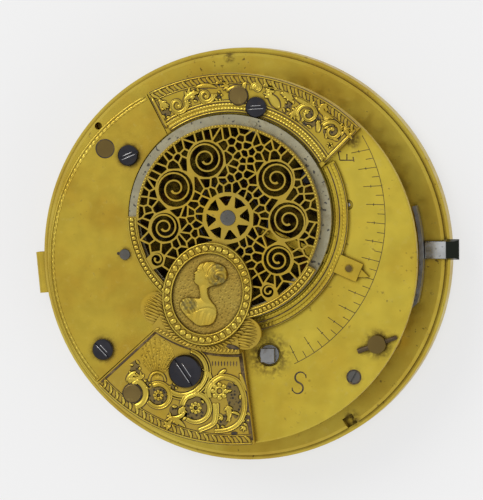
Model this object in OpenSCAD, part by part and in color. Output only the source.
// Verge fusee pocket watch movement, lying with its back (the top plate) up.
// Millimetres, +Z up. The origin is on the centre arbor, in the plane on which the movement rests.

/* [Plates] */
// Outer radius of the brass edge
edge_r = 22; // [21.8:0.1:24]
// Height of the brass edge's outer wall
edge_h = 2.6; // [2.3:0.1:2.7]
// Wall of the brass edge around the pillar plate
edge_wall = 0.5; // [0.45:0.05:0.6]
// Width of the ledge that carries the pillar plate
edge_ledge = 2.3; // [1.8:0.1:2.5]
// Depth of the dial recess under the pillar plate
dial_recess = 2; // [1.9:0.1:2.3]
// Thickness of the pillar plate
pillar_plate_t = 1.4; // [1.3:0.1:2]
// Height of the pillars between the plates
pillar_h = 6.2; // [5.7:0.1:7.5]
// Radius of the top plate
top_plate_r = 19.6; // [19.4:0.1:20]
// Thickness of the top plate
top_plate_t = 1.1; // [0.9:0.1:1.5]
// Thickness of the barrel bar, slide plate and cock foot
bar_t = 1; // [0.95:0.05:1.15]
// Circle on which the dial's feet stand
dial_feet_r = 17.33; // [17.3:0.01:17.36]
// Diameter of a dial foot hole
dial_foot_d = 0.9; // [0.6:0.1:1.2]

/* [Pillars] */
// Radius of the circle on which the pillars stand
pillar_circle_r = 17.8; // [17.5:0.1:18]
// Diameter of a pillar's belly
pillar_belly_d = 2.6; // [2.3:0.1:2.9]
// Diameter of the pillar's ends, in the plates
pillar_end_d = 1.9; // [1.6:0.1:2.1]
// Diameter of a pillar pin's thick end
pillar_pin_d = 0.6; // [0.45:0.05:0.7]
// Length of a pillar pin
pillar_pin_l = 4.4; // [3.6:0.1:4.6]

/* [Balance and cock] */
// Distance of the balance axis from the centre arbor
balance_y = 4.5; // [4.4:0.1:4.9]
// Outer radius of the balance
balance_r = 10.8; // [10.5:0.1:10.9]
// Width of the balance's rim
balance_band = 1.2; // [0.9:0.1:1.5]
// Thickness of the balance's rim
balance_t = 0.6; // [0.4:0.05:0.8]
// Height of the balance above the top plate
balance_lift = 1; // [0.95:0.05:1.1]
// Diameter of the verge staff
staff_d = 0.7; // [0.6:0.05:0.8]
// Reach of the pallets from the staff's axis
pallet_w = 1; // [0.8:0.05:1.1]
// Radius of the pierced cock table
cock_r = 9.8; // [9.5:0.1:10.1]
// Thickness of the cock table
cock_t = 0.8; // [0.6:0.05:1]
// Room between the balance and the cock table
cock_room = 0.4; // [0.35:0.05:0.6]
// Width of the oval medallion on the cock's neck
medal_w = 9.4; // [8.6:0.1:9.8]
// Height of the oval medallion
medal_h = 10.9; // [10:0.1:11.2]
// Width of the wire in the cock's piercing
wire_w = 0.17; // [0.15:0.01:0.25]

/* [Balance spring and regulator] */
// Radius of the balance spring's outer coil
spring_r = 4; // [3.8:0.1:4.2]
// Thickness of the balance spring's blade
spring_t = 0.12; // [0.1:0.02:0.16]
// Outer radius of the regulator's ring
regulator_r = 12.4; // [12.3:0.1:12.5]
// Width of the regulator's ring
regulator_w = 1.5; // [1.3:0.1:1.5]
// Thickness of the regulator's ring
regulator_t = 0.4; // [0.3:0.05:0.42]

/* [Train] */
// Module of the great wheel and centre pinion
great_m = 0.36; // [0.355:0.005:0.365]
// Module of the centre wheel and third pinion
centre_m = 0.26; // [0.255:0.005:0.265]
// Module of the third wheel and contrate pinion
third_m = 0.235; // [0.23:0.005:0.24]
// Module of the contrate wheel and crown pinion
contrate_m = 0.217; // [0.21:0.001:0.22]
// Thickness of the great wheel
great_t = 0.6; // [0.5:0.05:0.7]
// Thickness of the other train wheels
wheel_t = 0.35; // [0.3:0.05:0.4]
// Diameter of the train's arbors
arbor_d = 1; // [0.8:0.1:1.1]
// Diameter of the train's pivots
pivot_d = 0.4; // [0.3:0.05:0.5]

/* [Barrel and fusee] */
// Distance of the barrel's axis from the centre arbor
barrel_dist = 11.4; // [11.2:0.1:11.6]
// Outer radius of the barrel
barrel_r = 7.2; // [6.9:0.1:7.4]
// Wall of the barrel
barrel_wall = 0.5; // [0.4:0.05:0.6]
// Diameter of the barrel arbor
barrel_arbor_d = 1.8; // [1.5:0.1:2.1]
// Radius of the fusee at its base
fusee_base_r = 6.4; // [6.1:0.1:6.6]
// Radius of the fusee at its top
fusee_top_r = 3; // [2.7:0.1:3.3]
// Side of the winding square
winding_square = 1.4; // [1.2:0.05:1.5]
// Thickness of the chain, across its links
chain_t = 0.32; // [0.26:0.02:0.36]
// Height of the chain
chain_h = 0.44; // [0.36:0.02:0.46]

/* [Case joint and latch] */
// How far the hinge knuckle stands out of the brass edge
knuckle_reach = 1; // [0.95:0.05:1.3]
// Length of the hinge knuckle
knuckle_l = 4.4; // [3.6:0.1:5]
// Diameter of the hinge pin's bore
knuckle_bore_d = 0.6; // [0.4:0.05:0.7]
// Width of the latch bolt
bolt_w = 2.2; // [1.8:0.1:2.6]
// How far the bolt stands out of the brass edge
bolt_reach = 1; // [0.8:0.05:1.2]

/* [Fits] */
// Gap between pieces that are seated on each other
seat_gap = 0.02; // [0.01:0.01:0.04]
// Radial play of pivots and other running fits
run_gap = 0.04; // [0.03:0.01:0.06]
// Room between moving pieces that pass each other
pass_gap = 0.2; // [0.15:0.05:0.22]

/* [Hidden] */
$fn = 64;
cut = 1;
thin = 0.01;

// Levels, from the rest plane up
plate_face = dial_recess + pillar_plate_t;
top_under = plate_face + pillar_h;
top_face = top_under + top_plate_t;
bar_face = top_face + bar_t;
balance_z = top_face + balance_lift;
cock_z = balance_z + balance_t + cock_room;
cock_face = cock_z + cock_t;
medal_rise = 0.35;

// Tooth counts
great_teeth = 48;
centre_leaves = 12;
centre_teeth = 54;
third_leaves = 6;
third_teeth = 48;
contrate_leaves = 6;
contrate_teeth = 48;
crown_leaves = 6;
crown_teeth = 15;
cannon_leaves = 12;
minute_teeth = 36;
minute_leaves = 12;
hour_teeth = 48;

// Tooth forms: addendum and dedendum in modules, share of the pitch, share left at the tip
wheel_form = [0.95, 1.3, 0.44, 0.35];
pinion_form = [0.4, 1.45, 0.36, 0.5];

// Directions of the train's axes, in degrees
fusee_dir = -69.3;
third_dir = 10.6;
contrate_dir = 42.8;
barrel_dir = 177.5;
minute_dir = 60;
dial_feet_dir = 104;
pillar_dirs = [139, 87, 233, -30];
// How far each pillar stands inside the pillars' circle
pillar_inset = [0, 0.5, 0, 0];
pin_dirs = [229, 177, 323, 20];
cock_dir = 254.5;
knuckle_dir = 185.3;

// Directions of the straight joints between the pieces on the top plate
slide_end_dir = 45;
slide_bar_dir = 117;
bar_cock_dir = 222;
cock_end_dir = 277;
joint_half_gap = 0.15;

function polar(r, a) = [r * cos(a), r * sin(a)];
function dir_of(v) = atan2(v[1], v[0]);

pillars_at = [for (i = [0:len(pillar_dirs) - 1]) polar(pillar_circle_r - pillar_inset[i], pillar_dirs[i])];

centre_at = [0, 0];
fusee_at = polar(great_m * (great_teeth + centre_leaves) / 2, fusee_dir);
third_at = polar(centre_m * (centre_teeth + third_leaves) / 2, third_dir);
contrate_at = third_at + polar(third_m * (third_teeth + contrate_leaves) / 2, contrate_dir);
verge_at = [0, balance_y];
barrel_at = polar(barrel_dist, barrel_dir);
motion_m = 0.25;
hour_m = motion_m * (cannon_leaves + minute_teeth) / (minute_leaves + hour_teeth);
minute_at = polar(motion_m * (cannon_leaves + minute_teeth) / 2, minute_dir);

// Train levels
sink_depth = 0.45;
sink_room = 0.1;
centre_wheel_z = plate_face - sink_depth + sink_room;
centre_wheel_top = centre_wheel_z + wheel_t;
great_wheel_z = plate_face + 0.35;
great_wheel_top = great_wheel_z + great_t;
third_wheel_z = top_under - 0.4 - wheel_t;
end_shake = 0.05;
arbor_r = arbor_d / 2;
pivot_r = pivot_d / 2;

// Escapement: the crown wheel fills the room between the potence's foot and the third wheel
potence_foot_z = centre_wheel_top + pass_gap;
potence_foot_t = 0.55;
potence_foot_top = potence_foot_z + potence_foot_t;
pallet_h = 0.7;
crown_rim = 0.3;
crown_low = potence_foot_top + 0.1 + (pallet_h - crown_rim) / 2;
crown_high = third_wheel_z - pass_gap;
crown_wheel_r = (crown_high - crown_low) / 2;
crown_z = (crown_high + crown_low) / 2;
crown_dir = dir_of(contrate_at - verge_at);
contrate_r = contrate_m * contrate_teeth / 2;
contrate_rim = 0.5;
crown_span = norm(contrate_at - verge_at) - contrate_r + contrate_rim / 2;
crown_pinion_r = contrate_m * crown_leaves / 2;
contrate_pitch_z = crown_z - crown_pinion_r;
contrate_tip_z = contrate_pitch_z + 0.8 * contrate_m;
contrate_root_z = contrate_pitch_z - 1.3 * contrate_m;
contrate_web_z = contrate_root_z - 0.75;
pallet_clear = 0.08;
crown_tip_x = pallet_w + pallet_clear;
crown_tooth_l = 0.8;
crown_web_x = crown_tip_x + crown_tooth_l + 0.3;
crown_pinion_l = 0.9;
pallet_spread = 50;

// Places of the screws on the top plate, as seen from above
bar_screws_at = [[-10.9, 10.97], [-13.8, -9.56]];
slide_screw_at = [2.8, 16.05];
stop_screw_at = [12.85, -12.4];

// Small fittings
small_head_r = 1.1;
cock_head_r = 1.75;
head_h = 0.5;
shank_share = 0.45;
regulator_z = top_face + 0.03;
regulator_channel_h = regulator_t + 0.12;
regulator_channel_r = regulator_r + 0.7;
bar_inner_r = balance_r + 0.2;
cock_screw_from_ring = 3.94;
cock_screw_at = verge_at + polar(regulator_channel_r + cock_screw_from_ring, cock_dir - 1.45);

// Generic shapes
module at(p, z = 0) translate([p[0], p[1], z]) children();

module tube(r_out, r_in, h) {
  difference() {
    cylinder(r = r_out, h = h);
    translate([0, 0, -cut]) cylinder(r = r_in, h = h + 2 * cut);
  }
}

module wedge(a0, a1, reach = 60) {
  mid = (a0 + a1) / 2;
  polygon([[0, 0], polar(reach, a0), polar(reach, mid), polar(reach, a1)]);
}

module arc_band(r_in, r_out, a0, a1) {
  intersection() {
    difference() {
      circle(r = r_out);
      circle(r = r_in);
    }
    wedge(a0, a1);
  }
}

// A toothed outline with a tooth at the angle "phase"
module toothed(teeth, m, form, phase) {
  pitch = 360 / teeth;
  half = pitch * form[2] / 2;
  r_pitch = m * teeth / 2;
  r_root = r_pitch - form[1] * m;
  r_tip = r_pitch + form[0] * m;
  polygon([for (i = [0:teeth - 1]) let (a = phase + i * pitch) each [
    polar(r_root, a - half), polar(r_pitch, a - half), polar(r_tip, a - half * form[3]),
    polar(r_tip, a + half * form[3]), polar(r_pitch, a + half), polar(r_root, a + half)
  ]]);
}

// A wheel with straight arms between its hub and its toothed rim
module crossed_wheel(teeth, m, t, phase, hub_r, bore_r, arms, arm_w) {
  rim_r = m * teeth / 2 - wheel_form[1] * m - 0.55;
  linear_extrude(t) {
    difference() {
      toothed(teeth, m, wheel_form, phase);
      circle(r = rim_r);
    }
    difference() {
      union() {
        circle(r = hub_r);
        for (i = [0:arms - 1]) rotate(i * 360 / arms)
          translate([0, -arm_w / 2]) square([rim_r + 0.2, arm_w]);
      }
      circle(r = bore_r);
    }
  }
}

// An arbor between the plates, with its pivots in both of them
module arbor_between(low, high, r, pivot, pivot_low, pivot_high) {
  translate([0, 0, low + end_shake]) cylinder(r = r, h = high - low - 2 * end_shake);
  translate([0, 0, low - pivot_low]) cylinder(r = pivot, h = high - low + pivot_low + pivot_high);
}

// A slotted screw whose head sits on the plane z = 0
module screw(head, h, shank, reach, slot_turn = 0) {
  bevel = h * 0.25;
  difference() {
    union() {
      rotate_extrude() polygon([[0, 0], [head, 0], [head, h - bevel], [head - bevel, h], [0, h]]);
      translate([0, 0, -reach]) cylinder(r = shank, h = reach + thin);
    }
    rotate(slot_turn) translate([-head - cut, -head * 0.12, h * 0.5])
      cube([2 * (head + cut), head * 0.24, h]);
  }
}

// A hole of radius r through whatever lies between two levels
module drill(p, r, low, high) at(p, low - cut) cylinder(r = r, h = high - low + 2 * cut);

// Blades that wind: points of a flat spiral, and its outline
function spiral_blade(points, t) = let (
  n = len(points),
  normal = [for (i = [0:n - 1]) let (
    d = points[min(i + 1, n - 1)] - points[max(i - 1, 0)]
  ) [-d[1], d[0]] / norm(d)]
) concat(
  [for (i = [0:n - 1]) points[i] + normal[i] * t / 2],
  [for (i = [n - 1:-1:0]) points[i] - normal[i] * t / 2]
);

// The least distance between stretches of a winding that are at least half a turn apart
function least_gap(points, apart) = min([
  for (i = [0:len(points) - 1]) for (j = [i + apart:1:len(points) - 1]) norm(points[i] - points[j])
]);

coil_steps = 24;

// Balance spring: concentric under the curb pins, then winding in to its collet
stud_dir = -110;
curb_arc = 155;
spring_turns = 3;
collet_r = 0.85;
spring_end_r = collet_r + 0.1;
spring_step = 360 / coil_steps;
spring_span = curb_arc + spring_turns * 360;
balance_spring_points = [for (t = [0:spring_step:spring_span]) let (
  wound = max(0, t - curb_arc) / (spring_span - curb_arc)
) polar(spring_r - (spring_r - spring_end_r) * wound, stud_dir + t)];
echo(balance_spring_least_gap = least_gap(balance_spring_points, coil_steps / 2) - spring_t);

// Mainspring: from the arbor's hook out to the barrel's wall
mainspring_t = 0.16;
mainspring_in_r = barrel_arbor_d / 2 + 0.35;
mainspring_out_r = barrel_r - barrel_wall - 0.2;
mainspring_pitch = 0.62;
mainspring_turns = (mainspring_out_r - mainspring_in_r) / mainspring_pitch;
mainspring_points = [for (t = [0:spring_step:mainspring_turns * 360])
  polar(mainspring_in_r + mainspring_pitch * t / 360, t)];
echo(mainspring_least_gap = least_gap(mainspring_points, coil_steps / 2) - mainspring_t);

// Fusee: a hyperbola, so that the chain's lever arm grows as the spring runs down
ratchet_t = 0.3;
fusee_low = great_wheel_top + ratchet_t + 0.15;
snail_t = 0.4;
fusee_high = top_under - 0.45 - snail_t;
function fusee_r(z) = let (s = min(1, max(0, (z - fusee_low) / (fusee_high - fusee_low))))
  fusee_base_r * fusee_top_r / (fusee_top_r + (fusee_base_r - fusee_top_r) * s);

// Chain: on the barrel, straight across to the fusee, and down the fusee to its base
chain_gap = 0.06;
chain_pitch = chain_h + 0.46;
chain_barrel_turns = 2;
chain_fusee_turns = 2;
chain_cross_z = fusee_low + 0.35 + chain_fusee_turns * chain_pitch;
function chain_fusee_r(z) = fusee_r(z - chain_h / 2 - 0.05) + chain_t / 2 + chain_gap;
chain_barrel_r = barrel_r + chain_t / 2 + chain_gap;
chain_cross = fusee_at - barrel_at;
chain_leave = dir_of(chain_cross)
  - acos((chain_barrel_r - chain_fusee_r(chain_cross_z)) / norm(chain_cross));
function lift(p, z) = [p[0], p[1], z];
chain_on_barrel = [for (i = [-chain_barrel_turns * coil_steps:0]) let (turn = i / coil_steps)
  lift(barrel_at + polar(chain_barrel_r, chain_leave + 360 * turn), chain_cross_z - chain_pitch * turn)];
chain_on_fusee = [for (i = [0:chain_fusee_turns * coil_steps]) let (
  turn = i / coil_steps,
  z = chain_cross_z - chain_pitch * turn
) lift(fusee_at + polar(chain_fusee_r(z), chain_leave + 360 * turn), z)];
chain_points = concat(chain_on_barrel, chain_on_fusee);
echo(chain_least_gap = least_gap(chain_points, coil_steps / 2) - chain_h);

// A six-sided tube of flat section along points that wind about vertical axes
module flat_tube(points, t, h) {
  n = len(points);
  section = [[-1, -0.5], [0, -1], [1, -0.5], [1, 0.5], [0, 1], [-1, 0.5]];
  sides = len(section);
  rings = [for (i = [0:n - 1]) let (
    d = points[min(i + 1, n - 1)] - points[max(i - 1, 0)],
    side = [d[1], -d[0], 0] / norm([d[0], d[1]])
  ) each [for (s = section) points[i] + side * s[0] * t / 2 + [0, 0, s[1] * h / 2]]];
  walls = [for (i = [0:n - 2]) for (k = [0:sides - 1]) let (
    a = i * sides + k, b = i * sides + (k + 1) % sides
  ) each [[a, a + sides, b], [b, a + sides, b + sides]]];
  caps = [for (k = [1:sides - 2]) each [
    [0, k, k + 1], [(n - 1) * sides, (n - 1) * sides + k + 1, (n - 1) * sides + k]
  ]];
  polyhedron(points = rings, faces = concat(walls, caps), convexity = 10);
}

gilt = "goldenrod";
gilt_dark = "darkgoldenrod";
steel = "silver";
blued = "midnightblue";

// Plates and pillars

edge_in_r = edge_r - edge_wall - edge_ledge;
pillar_plate_r = edge_r - edge_wall - seat_gap;

module brass_edge() {
  round = 0.25;
  color(gilt) rotate_extrude() polygon([
    [edge_in_r, 0], [edge_r - round, 0], [edge_r, round], [edge_r, edge_h - round],
    [edge_r - round, edge_h], [edge_r - edge_wall, edge_h], [edge_r - edge_wall, dial_recess],
    [edge_in_r, dial_recess]
  ]);
}

sink_edge = 0.3;
centre_sink_r = centre_m * (centre_teeth / 2 + wheel_form[0]) + sink_edge;
third_sink_r = centre_m * (third_leaves / 2 + pinion_form[0]) + sink_edge;
bolt_y = 0.6;
bolt_depth = 0.6;
bolt_undercut = 0.2;
bolt_play = 0.05;
blade_in = 2.8;
blade_r = edge_r - blade_in;
latch_foot_at = polar(blade_r - 1.8, -21);
blade_end = -15;
latch_screw_r = 0.7;
click_at = barrel_at + polar(4.1, -70);
click_screw_r = 0.8;
pin_hole_at = polar(20.91, 139);
notch_dir = -57.6;
notch_w = 1.2;
notch_l = 1.1;

// Outline of the bolt's dovetail, looking along the bolt
module bolt_outline(grow) {
  half = bolt_w / 2 + grow;
  polygon([
    [-half, -bolt_depth - grow], [half, -bolt_depth - grow],
    [half - bolt_undercut, thin], [-half + bolt_undercut, thin]
  ]);
}

module along_bolt(from, to) {
  translate([from, bolt_y, plate_face]) rotate([90, 0, 90]) linear_extrude(to - from) children();
}

module pillar_plate() {
  low = dial_recess;
  round = 0.3;
  color(gilt) difference() {
    translate([0, 0, low]) rotate_extrude() polygon([
      [0, 0], [pillar_plate_r, 0], [pillar_plate_r, pillar_plate_t - round],
      [pillar_plate_r - round, pillar_plate_t], [0, pillar_plate_t]
    ]);
    at(centre_at, plate_face - sink_depth) cylinder(r = centre_sink_r, h = sink_depth + cut);
    at(third_at, plate_face - sink_depth) cylinder(r = third_sink_r, h = sink_depth + cut);
    for (p = [third_at, contrate_at]) drill(p, pivot_r + run_gap, low, plate_face);
    drill(centre_at, arbor_r + run_gap, low, plate_face);
    drill(fusee_at, fusee_pivot_r + run_gap, low, plate_face);
    drill(barrel_at, barrel_pivot_r + seat_gap, low, plate_face);
    drill(minute_at, minute_post_r + seat_gap, low, plate_face);
    for (p = pillars_at) drill(p, pillar_end_d / 2 + seat_gap, low, plate_face);
    for (i = [0:2]) drill(polar(dial_feet_r, dial_feet_dir + i * 120), dial_foot_d / 2, low, plate_face);
    drill(latch_foot_at, latch_screw_r * shank_share + seat_gap, low, plate_face);
    drill(click_at, click_screw_r * shank_share + seat_gap, low, plate_face);
    drill(pin_hole_at, 0.4, low, plate_face);
    rotate(notch_dir) translate([pillar_plate_r - notch_l, -notch_w / 2, low - cut])
      cube([notch_l + cut, notch_w, pillar_plate_t + 2 * cut]);
    along_bolt(bolt_in_x - 1.3, edge_r + cut) bolt_outline(bolt_play);
  }
}

verge_hole_r = pallet_w + 0.25;
square_sink_r = 1.25;
oil_sink_r = 0.55;
oil_sink_depth = 0.25;

module top_plate() {
  low = top_under;
  round = 0.15;
  color(gilt) difference() {
    translate([0, 0, low]) rotate_extrude() polygon([
      [0, 0], [top_plate_r, 0], [top_plate_r, top_plate_t - round],
      [top_plate_r - round, top_plate_t], [0, top_plate_t]
    ]);
    for (p = [centre_at, third_at, contrate_at]) {
      drill(p, pivot_r + run_gap, low, top_face);
      at(p, top_face - oil_sink_depth) cylinder(r = oil_sink_r, h = oil_sink_depth + cut);
    }
    drill(fusee_at, fusee_top_pivot_r + run_gap, low, top_face);
    at(fusee_at, top_face - oil_sink_depth) cylinder(r = square_sink_r, h = oil_sink_depth + cut);
    drill(barrel_at, barrel_pivot_r + seat_gap, low, top_face);
    drill(verge_at, verge_hole_r, low, top_face);
    for (p = pillars_at) drill(p, pillar_end_d / 2 + seat_gap, low, top_face);
    for (p = concat(bar_screws_at, [slide_screw_at]))
      drill(p, small_head_r * shank_share + seat_gap, low, top_face);
    drill(cock_screw_at, cock_head_r * shank_share + seat_gap, low, top_face);
    for (p = [potence_screw_at, counter_screw_at, stop_screw_at]) {
      drill(p, sunk_head_r * shank_share + seat_gap, low, top_face);
      at(p, top_face - sunk_head_h) cylinder(r = sunk_head_r + seat_gap, h = sunk_head_h + cut);
    }
    drill(stud_at, stud_shank_r + seat_gap, low, top_face);
  }
}

// Turned pillars: riveted into the pillar plate, pinned above the top plate
module pillars() {
  belly = pillar_belly_d / 2;
  end = pillar_end_d / 2;
  neck = (end + belly) / 2 + 0.05;
  collar = 0.35;
  pin_z = top_face + pillar_pin_d / 2 + seat_gap;
  color(gilt_dark) for (i = [0:len(pillars_at) - 1]) at(pillars_at[i])
    difference() {
      translate([0, 0, plate_face]) rotate_extrude() polygon([
        [0, -pillar_plate_t], [end, -pillar_plate_t], [end, 0], [belly, 0], [belly, collar],
        [neck, 2 * collar], [neck - 0.1, pillar_h * 0.3], [belly, pillar_h * 0.45],
        [belly, pillar_h * 0.55], [neck - 0.1, pillar_h * 0.7], [neck, pillar_h - 2 * collar],
        [belly, pillar_h - collar], [belly, pillar_h], [end, pillar_h],
        [end, pillar_h + top_plate_t + bar_t - thin], [0, pillar_h + top_plate_t + bar_t - thin]
      ]);
      translate([0, 0, pin_z]) rotate([0, 90, pin_dirs[i]])
        cylinder(r = pillar_pin_d / 2 + seat_gap, h = pillar_belly_d * 2, center = true);
    }
}

module pillar_pins() {
  thin_end = 0.7;
  color(steel) for (i = [0:len(pillars_at) - 1])
    at(pillars_at[i], top_face + pillar_pin_d / 2 + seat_gap)
      rotate([0, 90, pin_dirs[i]]) translate([0, 0, -pillar_pin_l / 2])
        cylinder(r1 = pillar_pin_d / 2, r2 = pillar_pin_d / 2 * thin_end, h = pillar_pin_l);
}

knuckle_r = knuckle_reach / 2;

module hinge_knuckle() {
  axis_r = edge_r + knuckle_reach - knuckle_r;
  color(gilt_dark) rotate(knuckle_dir) difference() {
    union() {
      translate([axis_r, 0, edge_h / 2]) rotate([90, 0, 0])
        cylinder(r = knuckle_r, h = knuckle_l, center = true);
      translate([edge_r - 0.6, -knuckle_l / 2, edge_h / 2 - knuckle_r])
        cube([axis_r - edge_r + 0.6, knuckle_l, 2 * knuckle_r]);
    }
    translate([axis_r, 0, edge_h / 2]) rotate([90, 0, 0])
      cylinder(d = knuckle_bore_d, h = knuckle_l + 2 * cut, center = true);
    translate([0, 0, -cut]) cylinder(r = edge_r + seat_gap, h = edge_h + 2 * cut, $fn = 720);
  }
}

// Bars on the top plate

// A sector of the top plate's outline that keeps clear of the balance
module bar_outline(a0, a1, inner_r) {
  intersection() {
    difference() {
      circle(r = top_plate_r);
      translate(verge_at) circle(r = inner_r);
    }
    wedge(a0 + joint_half_gap, a1 - joint_half_gap);
  }
}

// What every bar is cut away for: the pillar's end and its pin, and the regulator's ring
module bar_cuts() {
  at(verge_at, top_face - cut) cylinder(r = regulator_channel_r, h = regulator_channel_h + cut);
  for (i = [0:2]) at(pillars_at[i]) {
    translate([0, 0, top_face - cut]) cylinder(r = pillar_end_d / 2 + 0.05, h = bar_t + 2 * cut);
    rotate(pin_dirs[i]) translate([-pillar_pin_l / 2 - 0.2, -pillar_pin_d / 2 - 0.1, top_face - cut])
      cube([pillar_pin_l + 0.4, pillar_pin_d + 0.2, pillar_pin_d + 0.1 + cut]);
  }
}

module barrel_bar() {
  color(gilt) difference() {
    translate([0, 0, top_face]) linear_extrude(bar_t)
      bar_outline(slide_bar_dir, bar_cock_dir, bar_inner_r);
    bar_cuts();
    for (p = bar_screws_at) drill(p, small_head_r * shank_share + seat_gap, top_face, bar_face);
    drill(barrel_at, barrel_top_pivot_r + seat_gap, top_face, bar_face);
  }
}

module barrel_bar_screws() {
  color(blued) for (i = [0:1]) at(bar_screws_at[i], bar_face)
    screw(small_head_r, head_h, small_head_r * shank_share, bar_t + top_plate_t, 23 - 69 * i);
}

module slide_plate() {
  color(gilt) difference() {
    translate([0, 0, top_face]) linear_extrude(bar_t)
      bar_outline(slide_end_dir, slide_bar_dir, bar_inner_r);
    bar_cuts();
    drill(slide_screw_at, small_head_r * shank_share + seat_gap, top_face, bar_face);
  }
}

module slide_plate_screw() {
  color(blued) at(slide_screw_at, bar_face)
    screw(small_head_r, head_h, small_head_r * shank_share, bar_t + top_plate_t, 4);
}

// Balance cock: a pierced table, an oval medallion over the neck, and a foot

hub_ring_r = 2.7;
hub_disc_r = 1.45;
plug_r = 0.8;
rim_wire = 0.28;
lower_rim = 0.12;
border_w = 0.95;
border_half = 75;
medal_dist = 8.3;
neck_half = 20;
neck_lap = 1.25;
shell_r = 1.7;
shell_dist = medal_dist + 4;
shell_dir = 23.5;
foot_inner_r = regulator_channel_r;
neck_inner_r = bar_inner_r + 0.1;
// Scrolls in mirrored pairs: distance from the pivot, angle from the cock's axis, radius
scrolls = [[6.55, 144, 2.05], [6.4, 103, 2.1], [6.85, 66, 1.7], [8.8, 44.5, 0.86]];
scroll_places = [for (s = scrolls) for (side = [-1, 1])
  [s[0] * cos(side * s[1]), s[0] * sin(side * s[1]), s[2], side]];

// Lattice: cells around seeds that are shifted off a honeycomb. A cell ends half a wire short of the
// line to each neighbour, and at the tangents of the scrolls, hub, medallion and rim.
cell_pitch = 0.88;
cell_shift = 0.5;
cell_least = 0.2;
cell_rows = ceil(cock_r / cell_pitch) + 1;
function noise(row, col, kind) = let (s = 437.58 * sin(129 * row + 78.2 * col + 37.7 * kind)) s - floor(s) - 0.5;
function seed(row, col) = cell_pitch * [
  col + (row % 2 == 0 ? 0 : 0.5) + cell_shift * noise(row, col, 1),
  row * sqrt(3) / 2 + cell_shift * noise(row, col, 2)
];
// Tangents that a cell at p keeps to: a point on each, and its direction away from the cell
function disc_tangent(p, middle, r) = let (n = (middle - p) / norm(middle - p)) [middle - n * r, n];
function medal_tangent(p) = let (
  half = [medal_h / 2, medal_w / 2],
  q = p - [medal_dist, 0],
  on = q / norm([q[0] / half[0], q[1] / half[1]]),
  out = [on[0] / (half[0] * half[0]), on[1] / (half[1] * half[1])]
) [[medal_dist, 0] + on, -out / norm(out)];
function rim_tangent(p) = let (
  n = p / norm(p),
  rim = abs(dir_of(p)) < border_half ? lower_rim : rim_wire
) [n * (cock_r - rim), n];
function tangents(p) = concat(
  [for (s = scroll_places) disc_tangent(p, [s[0], s[1]], s[2])],
  [disc_tangent(p, [0, 0], hub_ring_r), medal_tangent(p), rim_tangent(p)]
);
function is_live(p) = min([for (t = tangents(p)) (t[0] - p) * t[1]]) > cell_least;
function trimmed(outline, edge, n) = let (last = len(outline) - 1) [for (i = [0:last]) let (
  a = outline[i],
  b = outline[i == last ? 0 : i + 1],
  over_a = (a - edge) * n,
  over_b = (b - edge) * n
) each concat(
  over_a <= 0 ? [a] : [],
  (over_a <= 0) != (over_b <= 0) ? [a + (b - a) * over_a / (over_a - over_b)] : []
)];
function cut_down(outline, edges, i = 0) = i == len(edges) ? outline
  : cut_down(trimmed(outline, edges[i][0], edges[i][1]), edges, i + 1);
function without_short_sides(outline) = let (last = len(outline) - 1)
  [for (i = [0:last]) if (norm(outline[i] - outline[i == last ? 0 : i + 1]) > 0.06) outline[i]];
function cell(row, col) = let (
  p = seed(row, col),
  big = 1.4 * cell_pitch,
  walls = [for (i = [-3:3]) for (j = [-3:3]) let (q = seed(row + i, col + j))
    if ((i != 0 || j != 0) && is_live(q)) let (n = (q - p) / norm(q - p)) [(p + q) / 2 - n * wire_w / 2, n]]
) without_short_sides(cut_down(
  [for (corner = [[-1, -1], [1, -1], [1, 1], [-1, 1]]) p + big * corner], concat(walls, tangents(p))
));

// The opening between a scroll's ring and the wire that winds in from it
scroll_eye = 0.16;
scroll_step = 16;
function scroll_hole(r, side) = let (
  last = r < 6 * wire_w ? 480 : 768,
  inner = r - wire_w,
  drop = (r - wire_w / 2 - r * scroll_eye) / last,
  first = scroll_step * ceil(wire_w / drop / scroll_step)
) concat(
  [for (t = [first:scroll_step:last + 360]) let (outside = t < 360 ? 0 : drop * (t - 360))
    polar(inner - outside, side * t)],
  [for (t = [last:-scroll_step:first]) let (bulb = max(0, 1 - (last - t) / 90))
    polar(r - drop * t + wire_w * 0.6 * bulb, side * t)]
);

module oval(w, h) {
  steps = 48;
  polygon([for (i = [0:steps - 1]) let (a = i * 360 / steps) [w / 2 * cos(a), h / 2 * sin(a)]]);
}

// The table with its piercing, with the cock's axis along +X and the pivot at the origin
module pierced_table() {
  star_in = 1.3;
  star_out = hub_ring_r - 0.38;
  difference() {
    union() {
      circle(r = cock_r);
      arc_band(cock_r - border_w / 2, cock_r + border_w, -border_half, border_half);
      translate([medal_dist, 0]) oval(medal_h, medal_w);
    }
    for (row = [-cell_rows:cell_rows]) for (col = [-cell_rows:cell_rows])
      if (is_live(seed(row, col)) && norm(seed(row, col)) < cock_r) polygon(cell(row, col));
    for (s = scroll_places) translate([s[0], s[1]]) polygon(scroll_hole(s[2], s[3]));
    for (i = [0:7]) rotate((i + 0.5) * 45) polygon([
      polar(star_in, -5), polar(star_out, -18), polar(star_out, 0), polar(star_out, 18), polar(star_in, 5)
    ]);
    circle(r = plug_r + seat_gap);
  }
}

module in_cock_frame(z) at(verge_at, z) rotate(cock_dir) children();

module neck_outline() {
  arc_band(neck_inner_r, foot_inner_r + neck_lap, -neck_half, neck_half);
}

module cock_table() in_cock_frame(cock_z) linear_extrude(cock_t) pierced_table();

module cock_neck() {
  in_cock_frame(bar_face + seat_gap)
    linear_extrude(cock_face - bar_face - seat_gap - thin) neck_outline();
  translate([0, 0, top_face + regulator_channel_h])
    linear_extrude(cock_face - top_face - regulator_channel_h - 2 * thin) intersection() {
      translate(verge_at) rotate(cock_dir) neck_outline();
      wedge(bar_cock_dir + joint_half_gap, cock_end_dir - joint_half_gap);
    }
}

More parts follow.
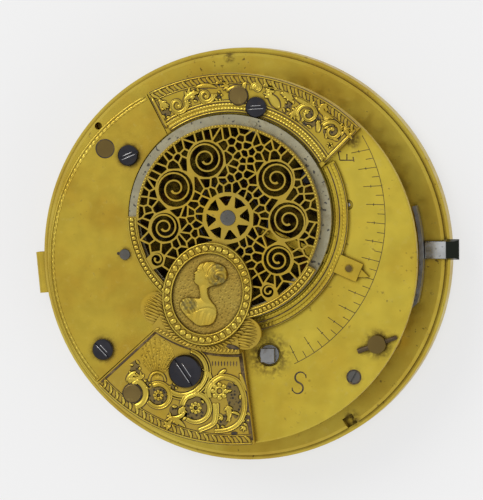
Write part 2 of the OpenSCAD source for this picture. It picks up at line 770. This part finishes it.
// The raised border round the medallion, and the shells either side of it
module cock_medal() {
  in_cock_frame(cock_face - 0.1) translate([medal_dist, 0]) linear_extrude(medal_rise + 0.1) difference() {
    oval(medal_h - 0.04, medal_w - 0.04);
    oval(medal_h - 2.2, medal_w - 1.8);
  }
  in_cock_frame(cock_z + 0.05) for (side = [-1, 1]) rotate(side * shell_dir) translate([shell_dist, 0])
    cylinder(r = shell_r, h = cock_t * 0.75);
}

module balance_cock() {
  color(gilt) {
    cock_table();
    cock_medal();
    difference() {
      union() {
        cock_neck();
        translate([0, 0, top_face]) linear_extrude(bar_t) bar_outline(bar_cock_dir, cock_end_dir, foot_inner_r);
      }
      bar_cuts();
      drill(cock_screw_at, cock_head_r * shank_share + seat_gap, top_face, bar_face);
    }
  }
}

module cock_screw() {
  color(blued) at(cock_screw_at, bar_face)
    screw(cock_head_r, head_h * 1.3, cock_head_r * shank_share, bar_t + top_plate_t, -56);
}

staff_pivot_r = staff_d * 0.25;

module cock_pivot_plug() {
  color(steel) at(verge_at, cock_z) difference() {
    cylinder(r = plug_r, h = cock_t + 0.1);
    translate([0, 0, -cut]) cylinder(r = staff_pivot_r + run_gap, h = cock_t * 0.7 + cut);
  }
}

// Potences: they hang from the top plate and carry the verge and the crown wheel

sunk_head_r = 0.75;
sunk_head_h = 0.35;
potence_back = -3;
potence_front = -1.3;
potence_half = 1.5;
nose_low = 0.45;
nose_inner = staff_d / 2 + 0.2;
nose_outer = nose_inner + 0.6;
nose_back_x = staff_d / 2 + 0.4;
nose_front_x = crown_tip_x + 0.4;
counter_x = crown_span + crown_pinion_l / 2 + 0.15;
counter_t = 0.8;
counter_leg_y = 2.7;
counter_leg_w = 1.3;
crown_pivot_r = pivot_r * 0.8;

function crown_place(x, y) = verge_at + [
  x * cos(crown_dir) - y * sin(crown_dir), x * sin(crown_dir) + y * cos(crown_dir)
];
potence_screw_at = crown_place((potence_back + potence_front) / 2, 0);
counter_screw_at = crown_place(counter_x + counter_t / 2, counter_leg_y + counter_leg_w / 2);

module in_crown_plan(z) at(verge_at, z) rotate(crown_dir) children();

module block(from, to) translate(from) cube(to - from);

// The crown wheel's own axis, from the verge outwards
module in_crown_axis() in_crown_plan(crown_z) rotate([0, 90, 0]) children();

module potence() {
  color(gilt) difference() {
    in_crown_plan(0) {
      block([potence_back, -potence_half, potence_foot_z], [potence_front, potence_half, top_under]);
      block([potence_front - thin, -0.9, potence_foot_z], [staff_d, 0.9, potence_foot_top]);
      block([potence_front - thin, nose_inner, crown_z - nose_low],
        [nose_front_x, nose_outer, crown_z + nose_low]);
      block([nose_back_x, -nose_low, crown_z - nose_low], [nose_front_x, nose_outer, crown_z + nose_low]);
    }
    drill(verge_at, staff_pivot_r + run_gap, potence_foot_z, potence_foot_top);
    in_crown_axis() translate([0, 0, nose_back_x - thin])
      cylinder(r = crown_pivot_r + run_gap, h = nose_front_x - nose_back_x + cut);
    drill(potence_screw_at, sunk_head_r * shank_share + seat_gap, top_under - 1.5, top_under);
  }
}

module sunk_screw(p, reach) {
  color(blued) at(p, top_face - sunk_head_h)
    screw(sunk_head_r, sunk_head_h, sunk_head_r * shank_share, reach, 60);
}

module potence_screw() sunk_screw(potence_screw_at, top_plate_t - sunk_head_h + 1.4);

module counter_potence() {
  low = contrate_tip_z + 0.12;
  color(gilt) difference() {
    in_crown_plan(0) {
      block([counter_x, -0.6, low], [counter_x + counter_t, counter_leg_y + counter_leg_w, crown_z + 0.7]);
      block([counter_x, counter_leg_y, low], [counter_x + counter_t, counter_leg_y + counter_leg_w, top_under]);
    }
    in_crown_axis() translate([0, 0, counter_x - cut])
      cylinder(r = crown_pivot_r + run_gap, h = counter_t + 2 * cut);
    drill(counter_screw_at, sunk_head_r * shank_share + seat_gap, top_under - 1.5, top_under);
  }
}

module counter_potence_screw() sunk_screw(counter_screw_at, top_plate_t - sunk_head_h + 1.4);

// Balance, verge and balance spring

stud_at = verge_at + polar(spring_r + 0.35, stud_dir);
stud_shank_r = 0.3;
spring_z = regulator_z + regulator_t + 0.1;
spring_h = balance_z - 0.15 - spring_z;
hub_r = 1.1;

module spring_stud() {
  color(steel) difference() {
    union() {
      at(stud_at, top_face - top_plate_t) cylinder(r = stud_shank_r, h = top_plate_t + thin);
      at(stud_at, top_face) cylinder(r = 0.5, h = balance_z - 0.1 - top_face);
    }
    at(verge_at, spring_z - thin) linear_extrude(balance_z)
      polygon(spiral_blade([for (t = [-30:10:30]) polar(spring_r, stud_dir + t)], spring_t + 2 * seat_gap));
  }
}

module balance_spring() {
  color(blued) at(verge_at, spring_z) linear_extrude(spring_h)
    polygon(spiral_blade(balance_spring_points, spring_t));
}

module spring_collet() {
  color(gilt) at(verge_at, spring_z) tube(collet_r - 0.05, staff_d / 2 + seat_gap, spring_h + 0.1);
}

module balance_wheel() {
  arms = 3;
  arm_w = 0.9;
  rim_in = balance_r - balance_band;
  color(steel) at(verge_at, balance_z) linear_extrude(balance_t) {
    difference() {
      circle(r = balance_r);
      circle(r = rim_in);
    }
    difference() {
      union() {
        circle(r = hub_r);
        for (i = [0:arms - 1]) rotate(cock_dir + 180 + i * 360 / arms)
          translate([0, -arm_w / 2]) square([rim_in + 0.2, arm_w]);
      }
      circle(r = staff_d / 2 + seat_gap);
    }
  }
}

module banking_pin() {
  color(steel) at(verge_at + polar(balance_r - balance_band / 2, cock_dir + 180), balance_z + balance_t)
    cylinder(r = 0.2, h = cock_room * 0.6);
}

// Staff with two pallets that stand either side of the crown wheel's axis
module verge_staff() {
  low = potence_foot_top + end_shake;
  high = cock_z - end_shake;
  blade = 0.24;
  color(steel) at(verge_at) {
    translate([0, 0, low]) cylinder(r = staff_d / 2, h = high - low);
    translate([0, 0, potence_foot_z + 0.1]) cylinder(r = staff_pivot_r, h = high - potence_foot_z);
    translate([0, 0, high - thin]) cylinder(r = staff_pivot_r, h = cock_t * 0.6);
    for (side = [-1, 1]) rotate(crown_dir + side * pallet_spread)
      translate([0, -blade / 2, crown_z + side * (crown_wheel_r - crown_rim / 2) - pallet_h / 2])
        cube([sqrt(pallet_w * pallet_w - blade * blade / 4), blade, pallet_h]);
  }
}

// Regulator: a ring sector with a pointer, and an arm under the balance that holds the curb pins. Past the
// full ring runs a narrow tail, which goes by the slide plate's screw.
regulator_rest = -23.5;
regulator_full_end = 28.3;
regulator_tail_end = 60;
regulator_start = -112;
regulator_tail_w = 0.4;
curb_gap = spring_t + 0.16;
curb_pin_r = 0.12;
pointer_w = 2;
pointer_l = 2.4;
pointer_tip_w = 0.9;
pointer_tip_l = 1.1;

module regulator() {
  inner = regulator_r - regulator_w;
  arm_w = 0.9;
  block_end = regulator_r + pointer_l;
  color(gilt) at(verge_at, regulator_z) {
    linear_extrude(regulator_t) {
      arc_band(inner, regulator_r, regulator_start, regulator_full_end);
      arc_band(inner, inner + regulator_tail_w, regulator_full_end - 5, regulator_tail_end);
      rotate(regulator_rest)
        translate([spring_r - 0.45, -arm_w / 2]) square([inner - spring_r + 0.75, arm_w]);
    }
    rotate(regulator_rest) {
      linear_extrude(regulator_t + 0.12)
        translate([regulator_r - 0.15, -pointer_w / 2]) square([pointer_l + 0.15, pointer_w]);
      linear_extrude(regulator_t) polygon([
        [block_end - thin, -pointer_tip_w / 2], [block_end + pointer_tip_l, 0],
        [block_end - thin, pointer_tip_w / 2]
      ]);
      translate([regulator_r + pointer_l / 2, 0]) cylinder(r = 0.42, h = regulator_t + 0.22);
      for (side = [-1, 1]) translate([spring_r + side * (curb_gap / 2 + curb_pin_r), 0, 0])
        cylinder(r = curb_pin_r, h = balance_z - 0.12 - regulator_z);
    }
  }
}

// Mainspring barrel

barrel_low = plate_face + 0.35;
barrel_high = top_under - 0.4;
barrel_pivot_r = barrel_arbor_d / 2 - 0.2;
barrel_top_pivot_r = barrel_pivot_r - 0.15;
lid_t = 0.45;
barrel_base_t = 0.5;
lid_step = 0.25;

module barrel_drum() {
  in_r = barrel_r - barrel_wall;
  bore = barrel_arbor_d / 2 + run_gap;
  h = barrel_high - barrel_low;
  color(gilt) at(barrel_at, barrel_low) rotate_extrude() polygon([
    [bore, 0], [barrel_r, 0], [barrel_r, h], [in_r + lid_step, h], [in_r + lid_step, h - lid_t],
    [in_r, h - lid_t], [in_r, barrel_base_t], [bore, barrel_base_t]
  ]);
}

module barrel_lid() {
  lid_r = barrel_r - barrel_wall + lid_step - seat_gap;
  color(gilt) at(barrel_at, barrel_high - lid_t) difference() {
    tube(lid_r, barrel_arbor_d / 2 + run_gap, lid_t);
    translate([lid_r - 0.5, -0.6, -cut]) cube([2, 1.2, lid_t + 2 * cut]);
  }
}

module mainspring() {
  color(steel) at(barrel_at, barrel_low + barrel_base_t + 0.15)
    linear_extrude(barrel_high - lid_t - barrel_low - barrel_base_t - 0.3)
      polygon(spiral_blade(mainspring_points, mainspring_t));
}

setup_t = 0.6;
setup_z = dial_recess - 0.1 - setup_t;
setup_square = barrel_pivot_r * 1.36;

// Arbor with its core for the mainspring, both pivots, and the square that the set-up ratchet sits on
module barrel_arbor() {
  r = barrel_arbor_d / 2;
  core_r = mainspring_in_r - mainspring_t / 2 - seat_gap;
  core_low = barrel_low + barrel_base_t + 0.1;
  core_high = barrel_high - lid_t - 0.1;
  shoulder_low = plate_face + end_shake;
  shoulder_high = top_under - end_shake;
  color(steel) at(barrel_at) {
    rotate_extrude() polygon([
      [0, dial_recess - 0.1], [barrel_pivot_r, dial_recess - 0.1], [barrel_pivot_r, shoulder_low],
      [r, shoulder_low], [r, core_low], [core_r, core_low], [core_r, core_high], [r, core_high],
      [r, shoulder_high], [barrel_pivot_r, shoulder_high], [barrel_pivot_r, top_face - 0.1],
      [barrel_top_pivot_r, top_face - 0.1], [barrel_top_pivot_r, bar_face + 0.15], [0, bar_face + 0.15]
    ]);
    translate([-setup_square / 2, -setup_square / 2, setup_z - 0.15])
      cube([setup_square, setup_square, dial_recess - setup_z + 0.15]);
  }
}

// Ratchet teeth with one steep flank each
module ratchet_outline(teeth, r_tip, depth, phase) {
  pitch = 360 / teeth;
  polygon([for (i = [0:teeth - 1]) let (a = phase + i * pitch) each [
    polar(r_tip, a), polar(r_tip - depth, a + pitch * 0.12), polar(r_tip, a + pitch * 0.98)
  ]]);
}

setup_r = 2.6;
setup_teeth = 20;
setup_depth = 0.35;

module setup_ratchet() {
  color(steel) at(barrel_at, setup_z) linear_extrude(setup_t) difference() {
    ratchet_outline(setup_teeth, setup_r, setup_depth, 0);
    square(setup_square + 2 * seat_gap, center = true);
  }
}

// Click that holds the mainspring's set-up, screwed to the plate's dial side
module setup_click() {
  aim = dir_of(barrel_at - click_at);
  reach = norm(barrel_at - click_at) - setup_r - 0.03;
  color(steel) at(click_at, dial_recess - setup_t - 0.1) difference() {
    linear_extrude(setup_t + 0.1) {
      circle(r = click_screw_r);
      rotate(aim) polygon([[0, -0.7], [reach * 0.8, -0.5], [reach, -0.1], [reach, 0.05], [0, 0.7]]);
    }
    translate([0, 0, -cut]) cylinder(r = click_screw_r * shank_share + seat_gap, h = 3);
  }
}

module setup_click_screw() {
  color(blued) at(click_at, dial_recess - setup_t - 0.1) mirror([0, 0, 1])
    screw(click_screw_r, head_h, click_screw_r * shank_share, setup_t + 0.1 + pillar_plate_t * 0.8, 15);
}

// Fusee, chain and great wheel

fusee_arbor_r = 1;
fusee_pivot_r = 0.6;
fusee_top_pivot_r = winding_square * 0.72;
groove_depth = 0.12;
groove_steps = 16;
ratchet_r = 4.3;
ratchet_teeth = 24;
click_pivot_dir = 40;
click_pivot_r = 5.9;

module fusee_chain() {
  color(steel) flat_tube(chain_points, chain_t, chain_h);
}

module fusee_cone() {
  step = (fusee_high - fusee_low) / groove_steps;
  bore = fusee_arbor_r + seat_gap;
  side = [for (i = [0:groove_steps - 1]) let (z = fusee_low + i * step) each [
    [fusee_r(z), z], [fusee_r(z + step / 2) - groove_depth, z + step / 2]
  ]];
  color(gilt) at(fusee_at) rotate_extrude() polygon(concat(
    [[bore, fusee_low]], side, [[fusee_top_r, fusee_high], [bore, fusee_high]]
  ));
}

module fusee_arbor() {
  high = top_under - end_shake;
  square_top = top_face + 1.1;
  color(steel) at(fusee_at) {
    translate([0, 0, plate_face + end_shake]) cylinder(r = fusee_arbor_r, h = high - plate_face - end_shake);
    translate([0, 0, dial_recess + 0.2]) cylinder(r = fusee_pivot_r, h = pillar_plate_t);
    translate([0, 0, high - thin]) cylinder(r = fusee_top_pivot_r, h = top_face - oil_sink_depth - high + 0.05);
    translate([-winding_square / 2, -winding_square / 2, top_under])
      cube([winding_square, winding_square, square_top - top_under]);
  }
}

module fusee_ratchet() {
  color(steel) at(fusee_at, great_wheel_top + 0.05) linear_extrude(ratchet_t) difference() {
    ratchet_outline(ratchet_teeth, ratchet_r, 0.35, 0);
    circle(r = fusee_arbor_r + seat_gap);
  }
}

// Snail on top of the fusee, whose beak meets the stop iron when the chain is fully wound
snail_beak = 0.6;

module fusee_snail() {
  r = fusee_top_r - 0.2;
  color(steel) at(fusee_at, fusee_high + seat_gap) linear_extrude(snail_t - seat_gap) difference() {
    union() {
      circle(r = r);
      rotate(130) polygon([[r - 0.4, -1.2], [r + snail_beak, -0.1], [r + snail_beak, 0.5], [0, 1]]);
    }
    circle(r = fusee_arbor_r + seat_gap);
  }
}

great_phase = fusee_dir + 180;

module great_wheel() {
  color(gilt) at(fusee_at, great_wheel_z) linear_extrude(great_t) difference() {
    toothed(great_teeth, great_m, wheel_form, great_phase);
    circle(r = fusee_arbor_r + run_gap);
    translate(polar(click_pivot_r, click_pivot_dir)) circle(r = click_stud_r + run_gap);
  }
}

click_stud_r = 0.3;
click_t = 0.28;

// Click of the winding work, resting beside the ratchet
module great_wheel_click() {
  pivot = polar(click_pivot_r, click_pivot_dir);
  tip = polar(ratchet_r + 0.08, click_pivot_dir + 32);
  color(steel) at(fusee_at) {
    translate([0, 0, great_wheel_top + 0.02]) linear_extrude(click_t) {
      translate(pivot) circle(r = 0.55);
      polygon([
        pivot + polar(0.5, click_pivot_dir), polar(ratchet_r + 0.5, click_pivot_dir + 33), tip,
        polar(ratchet_r + 0.35, click_pivot_dir + 20), pivot - polar(0.5, click_pivot_dir)
      ]);
    }
    at(pivot, great_wheel_z + 0.05) cylinder(r = click_stud_r, h = great_t);
  }
}

module great_wheel_click_spring() {
  r = 6.9;
  color(blued) at(fusee_at, great_wheel_top) linear_extrude(click_t) {
    arc_band(r - 0.12, r + 0.12, click_pivot_dir + 12, click_pivot_dir + 75);
    translate(polar(r, click_pivot_dir + 78)) circle(r = 0.5);
  }
}

// Stop work: the chain lifts the iron into the way of the snail's beak
stop_aim = dir_of(fusee_at - stop_screw_at);
stop_pivot_x = 1.6;
stop_pivot_drop = 1.15;
stop_iron_t = 0.4;
stop_iron_w = 1;
stop_pivot_r = 0.25;
stop_reach = norm(fusee_at - stop_screw_at) - fusee_top_r - snail_beak - 0.35;

module in_stop_frame(z) at(stop_screw_at, z) rotate(stop_aim) children();

module stop_bracket() {
  color(gilt) difference() {
    in_stop_frame(top_under) {
      block([-1, -1.1, -0.7], [1, 1.1, 0]);
      for (side = [-1, 1]) block([-1, side * 0.85 - 0.25, -stop_pivot_drop - 0.5],
        [stop_pivot_x + 0.5, side * 0.85 + 0.25, -0.02]);
    }
    in_stop_frame(top_under - stop_pivot_drop) translate([stop_pivot_x, 0, 0]) rotate([90, 0, 0])
      cylinder(r = stop_pivot_r + run_gap, h = 4, center = true);
    drill(stop_screw_at, sunk_head_r * shank_share + seat_gap, top_under - 2, top_under);
  }
}

module stop_bracket_screw() sunk_screw(stop_screw_at, top_plate_t - sunk_head_h + 0.6);

module stop_iron() {
  color(steel) in_stop_frame(top_under - stop_pivot_drop) {
    translate([stop_pivot_x, 0, 0]) rotate([90, 0, 0])
      cylinder(r = stop_pivot_r, h = 2.1, center = true);
    translate([stop_pivot_x, 0, 0]) rotate([90, 0, 0])
      cylinder(r = 0.4, h = stop_iron_w, center = true);
    block([stop_pivot_x, -stop_iron_w / 2, -stop_iron_t / 2], [stop_reach, stop_iron_w / 2, stop_iron_t / 2]);
  }
}

// Blade under the top plate that presses the stop iron down
module stop_iron_spring() {
  color(blued) in_stop_frame(top_under - 0.25) {
    block([1.05, -0.4, -0.05], [stop_pivot_x + 2.2, 0.4, 0.1]);
    block([1.05, -0.4, 0.05], [2, 0.4, 0.25]);
  }
}

// Train wheels and their arbors

module centre_wheel() {
  color(gilt) at(centre_at, centre_wheel_z)
    crossed_wheel(centre_teeth, centre_m, wheel_t, third_dir, 1.6, arbor_r + seat_gap, 4, 0.8);
}

module centre_pinion() {
  leaves_low = centre_wheel_top + seat_gap;
  color(steel) at(centre_at) {
    translate([0, 0, leaves_low]) linear_extrude(great_wheel_top + 0.2 - leaves_low)
      toothed(centre_leaves, great_m, pinion_form, fusee_dir + 180 / centre_leaves);
    translate([0, 0, centre_wheel_z]) cylinder(r = arbor_r, h = top_under - end_shake - centre_wheel_z);
    translate([0, 0, top_under - 2 * end_shake]) cylinder(r = pivot_r, h = top_plate_t);
    translate([0, 0, cannon_low + 0.2]) cylinder(r = arbor_r, h = centre_wheel_z);
  }
}

module third_wheel() {
  color(gilt) at(third_at, third_wheel_z)
    crossed_wheel(third_teeth, third_m, wheel_t, contrate_dir, 1.1, arbor_r * 0.8 + seat_gap, 4, 0.6);
}

module third_pinion() {
  r = arbor_r * 0.8;
  color(steel) at(third_at) {
    translate([0, 0, plate_face - sink_depth + end_shake]) linear_extrude(wheel_t + 0.6)
      toothed(third_leaves, centre_m, pinion_form, third_dir + 180 + 180 / third_leaves);
    arbor_between(plate_face - sink_depth, top_under, pivot_r * 1.3, pivot_r,
      pillar_plate_t - sink_depth - 0.1, top_plate_t - oil_sink_depth);
    translate([0, 0, plate_face + 0.6]) cylinder(r = r, h = top_under - 0.2 - plate_face - 0.6);
  }
}

module contrate_wheel() {
  hub = 1.2;
  tooth_w = contrate_m * PI * 0.44;
  root = contrate_root_z - contrate_web_z;
  tip = contrate_tip_z - contrate_web_z;
  color(gilt) at(contrate_at, contrate_web_z) {
    difference() {
      cylinder(r = contrate_r, h = root);
      translate([0, 0, wheel_t]) cylinder(r = contrate_r - contrate_rim, h = root + cut);
      translate([0, 0, -cut]) linear_extrude(root + 2 * cut) difference() {
        circle(r = contrate_r - contrate_rim - 0.35);
        circle(r = hub);
        for (i = [0:3]) rotate(crown_dir + i * 90) translate([0, -0.35]) square([contrate_r, 0.7]);
      }
      translate([0, 0, -cut]) cylinder(r = pivot_r * 1.6 + seat_gap, h = root + 2 * cut);
    }
    for (i = [0:contrate_teeth - 1]) rotate(crown_dir + 180 + i * 360 / contrate_teeth)
      translate([contrate_r - contrate_rim + 0.05, 0, 0]) rotate([90, 0, 90]) linear_extrude(contrate_rim - 0.12)
        polygon([[-tooth_w / 2, root - thin], [tooth_w / 2, root - thin],
          [tooth_w * 0.22, tip], [-tooth_w * 0.22, tip]]);
  }
}

module contrate_pinion() {
  low = third_wheel_z - 0.3;
  color(steel) at(contrate_at) {
    translate([0, 0, low]) linear_extrude(top_under - 0.15 - low)
      toothed(contrate_leaves, third_m, pinion_form, contrate_dir + 180 + 180 / contrate_leaves);
    arbor_between(plate_face, top_under, pivot_r * 1.3, pivot_r,
      pillar_plate_t - 0.1, top_plate_t - oil_sink_depth);
    translate([0, 0, plate_face + 0.4]) cylinder(r = pivot_r * 1.6, h = low - plate_face - 0.3);
  }
}

module crown_wheel() {
  pitch_w = 2 * PI * crown_wheel_r / crown_teeth;
  in_r = crown_wheel_r - crown_rim;
  color(gilt) in_crown_axis() {
    for (i = [0:crown_teeth - 1]) rotate(i * 360 / crown_teeth)
      translate([in_r + 0.02, 0, crown_tip_x]) rotate([90, 0, 90]) linear_extrude(crown_rim - 0.06)
        polygon([[0, 0], [0.1, 0], [pitch_w * 0.45, crown_tooth_l + thin], [-0.1, crown_tooth_l + thin]]);
    translate([0, 0, crown_tip_x + crown_tooth_l]) tube(crown_wheel_r, in_r, 0.6);
    translate([0, 0, crown_web_x]) difference() {
      cylinder(r = in_r + thin, h = 0.3);
      translate([0, 0, -cut]) cylinder(r = arbor_r * 0.7 + seat_gap, h = 3);
      for (i = [0:3]) rotate(45 + i * 90) translate([in_r * 0.58, 0, -cut])
        cylinder(r = in_r * 0.26, h = 3);
    }
  }
}

module crown_pinion() {
  r = arbor_r * 0.7;
  first = nose_front_x + end_shake;
  last = counter_x - end_shake;
  color(steel) in_crown_axis() {
    translate([0, 0, crown_span - crown_pinion_l / 2]) linear_extrude(crown_pinion_l)
      toothed(crown_leaves, contrate_m, pinion_form, 180 / crown_leaves);
    translate([0, 0, first]) cylinder(r = r * 0.85, h = last - first);
    translate([0, 0, crown_web_x - 0.1]) cylinder(r = r, h = 1);
    translate([0, 0, nose_back_x + 0.1]) cylinder(r = crown_pivot_r, h = counter_x + counter_t - nose_back_x - 0.2);
  }
}

// Motion work on the dial side

cannon_pipe_r = 0.8;
cannon_low = 0.2;
minute_z = dial_recess - 0.2 - wheel_t;
hour_z = minute_z - 0.15 - wheel_t;
minute_post_r = 0.4;

module cannon_pinion() {
  color(steel) at(centre_at) difference() {
    union() {
      translate([0, 0, minute_z - 0.05]) linear_extrude(dial_recess - 0.1 - minute_z + 0.05)
        toothed(cannon_leaves, motion_m, pinion_form, minute_dir);
      translate([0, 0, cannon_low]) cylinder(r = cannon_pipe_r, h = minute_z - cannon_low);
    }
    translate([0, 0, cannon_low + 0.15]) cylinder(r = arbor_r + seat_gap, h = dial_recess);
  }
}

module minute_post() {
  color(steel) at(minute_at, hour_z - 0.2) {
    cylinder(r = minute_post_r, h = plate_face - sink_depth - 0.1 - hour_z + 0.2);
    cylinder(r = 0.65, h = 0.12);
  }
}

module minute_wheel() {
  bore = minute_post_r + run_gap;
  color(gilt) at(minute_at) {
    translate([0, 0, minute_z]) linear_extrude(wheel_t) difference() {
      toothed(minute_teeth, motion_m, wheel_form, minute_dir + 180 + 180 / minute_teeth);
      circle(r = bore);
    }
    translate([0, 0, hour_z - 0.05]) linear_extrude(minute_z - hour_z + 0.05 + thin) difference() {
      toothed(minute_leaves, hour_m, pinion_form, minute_dir + 180 + 180 / minute_leaves);
      circle(r = bore);
    }
  }
}

module hour_wheel() {
  bore = cannon_pipe_r + run_gap;
  color(gilt) at(centre_at) {
    translate([0, 0, hour_z]) linear_extrude(wheel_t) difference() {
      toothed(hour_teeth, hour_m, wheel_form, minute_dir);
      circle(r = bore);
    }
    translate([0, 0, cannon_low + 0.35]) tube(bore + 0.4, bore, hour_z - cannon_low - 0.35 + thin);
  }
}

// Latch: a bolt in a dovetail of the pillar plate, pushed out by a blade spring

blade_t = 0.4;
blade_h = 1.4;
bolt_in_x = blade_r + blade_t / 2 + 0.1;
bolt_rise = 0.55;
bolt_bevel = 1.1;

module latch_bolt() {
  tip = edge_r + bolt_reach;
  wide = bolt_w / 2 - bolt_undercut;
  color(steel) difference() {
    union() {
      along_bolt(bolt_in_x, tip) bolt_outline(0);
      along_bolt(bolt_in_x, tip) polygon([[-wide, 0], [wide, 0], [wide, bolt_rise], [-wide, bolt_rise]]);
    }
    translate([tip - bolt_bevel, bolt_y, plate_face + bolt_rise]) rotate([0, 40, 0])
      translate([0, -bolt_w, 0]) cube([4, 2 * bolt_w, 2]);
  }
}

module latch_spring() {
  color(steel) at([0, 0], plate_face) difference() {
    union() {
      linear_extrude(blade_h) arc_band(blade_r - blade_t / 2, blade_r + blade_t / 2, blade_end, 16);
      linear_extrude(0.5) {
        translate(latch_foot_at) circle(r = 1);
        hull() {
          translate(latch_foot_at) circle(r = 0.7);
          translate(polar(blade_r, blade_end + 0.5)) circle(r = blade_t / 2);
        }
      }
    }
    at(latch_foot_at, -cut) cylinder(r = latch_screw_r * shank_share + seat_gap, h = 4);
  }
}

module latch_spring_screw() {
  color(blued) at(latch_foot_at, plate_face + 0.5)
    screw(latch_screw_r, head_h, latch_screw_r * shank_share, 0.5 + pillar_plate_t * 0.8, 70);
}

brass_edge();
pillar_plate();
top_plate();
pillars();
pillar_pins();
hinge_knuckle();
barrel_bar();
barrel_bar_screws();
slide_plate();
slide_plate_screw();
balance_cock();
cock_screw();
cock_pivot_plug();
potence();
potence_screw();
counter_potence();
counter_potence_screw();
spring_stud();
balance_spring();
setup_ratchet();
setup_click();
setup_click_screw();
barrel_arbor();
mainspring();
barrel_drum();
barrel_lid();
fusee_chain();
fusee_cone();
fusee_arbor();
fusee_ratchet();
fusee_snail();
great_wheel();
great_wheel_click();
great_wheel_click_spring();
stop_bracket();
stop_bracket_screw();
stop_iron();
stop_iron_spring();
centre_wheel();
centre_pinion();
third_wheel();
third_pinion();
contrate_wheel();
contrate_pinion();
crown_wheel();
crown_pinion();
balance_wheel();
verge_staff();
spring_collet();
banking_pin();
regulator();
cannon_pinion();
minute_post();
minute_wheel();
hour_wheel();
latch_spring();
latch_spring_screw();
latch_bolt();
